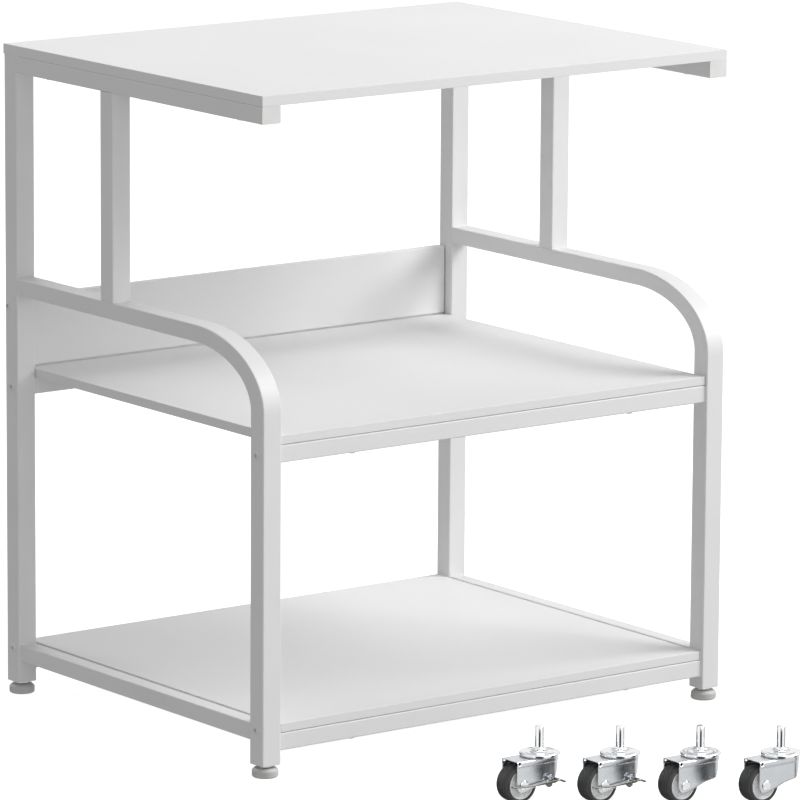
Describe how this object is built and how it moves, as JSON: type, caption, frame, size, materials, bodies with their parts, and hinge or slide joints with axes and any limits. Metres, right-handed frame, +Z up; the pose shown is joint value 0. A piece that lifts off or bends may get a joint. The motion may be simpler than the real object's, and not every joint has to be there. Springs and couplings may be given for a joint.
{
  "type": "printer stand",
  "caption": "Printer stand with a welded tube frame, flat shelves, a low back panel, levelling feet, and stem casters set out on the floor beside it.",
  "frame": {"origin": "on the floor, at the middle of the box around the stand and the casters in front of it", "axes": "+Z up; X across the width of the stand; +Y from its open front to its back, along the longest side of the whole set"},
  "size_m": [0.669, 0.9392, 0.774],
  "materials": {
    "white_frame": "white powder coat, fine orange-peel texture",
    "white_board": "white melamine-faced board with matching edge band",
    "white_plastic": "white moulded plastic",
    "grey_plastic": "light grey moulded plastic foot",
    "plated_steel": "bright zinc-plated steel",
    "polished_steel": "polished plated steel",
    "dull_steel": "dull grey passivated steel",
    "white_bolts": "nickel-plated screw heads",
    "hub_plastic": "light grey glass-filled nylon",
    "black_tyre": "black moulded rubber"
  },
  "bodies": {
    "frame": {"left_back_leg": "white_frame", "left_front_arm": "white_frame", "left_post": "white_frame", "left_top_rail": "white_frame", "left_bottom_rail": "white_frame", "right_back_leg": "white_frame", "right_front_arm": "white_frame", "right_post": "white_frame", "right_top_rail": "white_frame", "right_bottom_rail": "white_frame", "middle_front_crossbar": "white_frame", "middle_back_crossbar": "white_frame", "bottom_front_crossbar": "white_frame", "bottom_back_crossbar": "white_frame", "top_board": "white_board", "middle_board": "white_board", "bottom_board": "white_board", "back_panel": "white_board", "rail_end_caps": "white_plastic", "leg_plugs": "white_plastic", "frame_bolts": "white_bolts", "crossbar_nuts": "plated_steel", "board_inserts": "plated_steel", "board_screws": "plated_steel"},
    "foot_pad_front_left": {"foot_pad_front_left": "grey_plastic"},
    "foot_stud_front_left": {"foot_stud_front_left": "plated_steel"},
    "foot_pad_front_right": {"foot_pad_front_right": "grey_plastic"},
    "foot_stud_front_right": {"foot_stud_front_right": "plated_steel"},
    "foot_pad_back_left": {"foot_pad_back_left": "grey_plastic"},
    "foot_stud_back_left": {"foot_stud_back_left": "plated_steel"},
    "foot_pad_back_right": {"foot_pad_back_right": "grey_plastic"},
    "foot_stud_back_right": {"foot_stud_back_right": "plated_steel"},
    "caster_1_head": {"caster_1_stem": "polished_steel", "caster_1_race_balls": "polished_steel"},
    "caster_1_fork": {"caster_1_fork": "plated_steel", "caster_1_axle": "polished_steel"},
    "caster_1_wheel": {"caster_1_hub": "hub_plastic", "caster_1_tyre": "black_tyre"},
    "caster_1_pedal": {"caster_1_pedal": "plated_steel", "caster_1_brake_pins": "dull_steel"},
    "caster_2_head": {"caster_2_stem": "polished_steel", "caster_2_race_balls": "polished_steel"},
    "caster_2_fork": {"caster_2_fork": "plated_steel", "caster_2_axle": "polished_steel"},
    "caster_2_wheel": {"caster_2_hub": "hub_plastic", "caster_2_tyre": "black_tyre"},
    "caster_2_pedal": {"caster_2_pedal": "plated_steel", "caster_2_brake_pins": "dull_steel"},
    "caster_3_head": {"caster_3_stem": "polished_steel", "caster_3_race_balls": "polished_steel"},
    "caster_3_fork": {"caster_3_fork": "plated_steel", "caster_3_axle": "polished_steel"},
    "caster_3_wheel": {"caster_3_hub": "hub_plastic", "caster_3_tyre": "black_tyre"},
    "caster_4_head": {"caster_4_stem": "polished_steel", "caster_4_race_balls": "polished_steel"},
    "caster_4_fork": {"caster_4_fork": "plated_steel", "caster_4_axle": "polished_steel"},
    "caster_4_wheel": {"caster_4_hub": "hub_plastic", "caster_4_tyre": "black_tyre"}
  },
  "joints": [
    {"name": "foot_slide_front_left", "type": "slide", "parent": "frame", "child": "foot_pad_front_left", "axis": [0, 0, 1], "range_m": [-0.012, 0]},
    {"name": "foot_turn_front_left", "type": "hinge", "parent": "foot_pad_front_left", "child": "foot_stud_front_left", "pos_m": [-0.3195, -0.03789, 0.02], "axis": [0, 0, 1], "range_deg": [-2890, 0]},
    {"name": "foot_slide_front_right", "type": "slide", "parent": "frame", "child": "foot_pad_front_right", "axis": [0, 0, 1], "range_m": [-0.012, 0]},
    {"name": "foot_turn_front_right", "type": "hinge", "parent": "foot_pad_front_right", "child": "foot_stud_front_right", "pos_m": [0.3195, -0.03789, 0.02], "axis": [0, 0, 1], "range_deg": [-2890, 0]},
    {"name": "foot_slide_back_left", "type": "slide", "parent": "frame", "child": "foot_pad_back_left", "axis": [0, 0, 1], "range_m": [-0.012, 0]},
    {"name": "foot_turn_back_left", "type": "hinge", "parent": "foot_pad_back_left", "child": "foot_stud_back_left", "pos_m": [-0.3195, 0.45511, 0.02], "axis": [0, 0, 1], "range_deg": [-2890, 0]},
    {"name": "foot_slide_back_right", "type": "slide", "parent": "frame", "child": "foot_pad_back_right", "axis": [0, 0, 1], "range_m": [-0.012, 0]},
    {"name": "foot_turn_back_right", "type": "hinge", "parent": "foot_pad_back_right", "child": "foot_stud_back_right", "pos_m": [0.3195, 0.45511, 0.02], "axis": [0, 0, 1], "range_deg": [-2890, 0]},
    {"name": "caster_1_lift", "type": "slide", "parent": "frame", "child": "caster_1_head", "axis": [0, 0, 1], "range_m": [0, 0.12]},
    {"name": "caster_1_swivel", "type": "hinge", "parent": "caster_1_head", "child": "caster_1_fork", "pos_m": [-0.1266, -0.29069, 0.049], "axis": [0, 0, 1], "range_deg": [-180, 80]},
    {"name": "caster_1_roll", "type": "hinge", "parent": "caster_1_fork", "child": "caster_1_wheel", "pos_m": [-0.1586, -0.29069, 0.0215], "axis": [0, 1, 0], "continuous": true},
    {"name": "caster_1_brake", "type": "hinge", "parent": "caster_1_fork", "child": "caster_1_pedal", "pos_m": [-0.1246, -0.29069, 0.026], "axis": [0, 1, 0], "range_deg": [0, 12]},
    {"name": "caster_2_lift", "type": "slide", "parent": "frame", "child": "caster_2_head", "axis": [0, 0, 1], "range_m": [0, 0.12]},
    {"name": "caster_2_swivel", "type": "hinge", "parent": "caster_2_head", "child": "caster_2_fork", "pos_m": [-0.05374, -0.34266, 0.049], "axis": [0, 0, 1], "range_deg": [-180, 80]},
    {"name": "caster_2_roll", "type": "hinge", "parent": "caster_2_fork", "child": "caster_2_wheel", "pos_m": [-0.08574, -0.34266, 0.0215], "axis": [0, 1, 0], "continuous": true},
    {"name": "caster_2_brake", "type": "hinge", "parent": "caster_2_fork", "child": "caster_2_pedal", "pos_m": [-0.05174, -0.34266, 0.026], "axis": [0, 1, 0], "range_deg": [0, 12]},
    {"name": "caster_3_lift", "type": "slide", "parent": "frame", "child": "caster_3_head", "axis": [0, 0, 1], "range_m": [0, 0.12]},
    {"name": "caster_3_swivel", "type": "hinge", "parent": "caster_3_head", "child": "caster_3_fork", "pos_m": [0.01913, -0.39464, 0.049], "axis": [0, 0, 1], "range_deg": [-180, 80]},
    {"name": "caster_3_roll", "type": "hinge", "parent": "caster_3_fork", "child": "caster_3_wheel", "pos_m": [-0.01287, -0.39464, 0.0215], "axis": [0, 1, 0], "continuous": true},
    {"name": "caster_4_lift", "type": "slide", "parent": "frame", "child": "caster_4_head", "axis": [0, 0, 1], "range_m": [0, 0.12]},
    {"name": "caster_4_swivel", "type": "hinge", "parent": "caster_4_head", "child": "caster_4_fork", "pos_m": [0.09199, -0.44661, 0.049], "axis": [0, 0, 1], "continuous": true},
    {"name": "caster_4_roll", "type": "hinge", "parent": "caster_4_fork", "child": "caster_4_wheel", "pos_m": [0.05999, -0.44661, 0.0215], "axis": [0, 1, 0], "continuous": true}
  ],
  "couplings": [
    {"joint": "foot_turn_front_left", "follows": "foot_slide_front_left", "rad_per_m": 4188.8},
    {"joint": "foot_turn_front_right", "follows": "foot_slide_front_right", "rad_per_m": 4188.8},
    {"joint": "foot_turn_back_left", "follows": "foot_slide_back_left", "rad_per_m": 4188.8},
    {"joint": "foot_turn_back_right", "follows": "foot_slide_back_right", "rad_per_m": 4188.8}
  ]
}
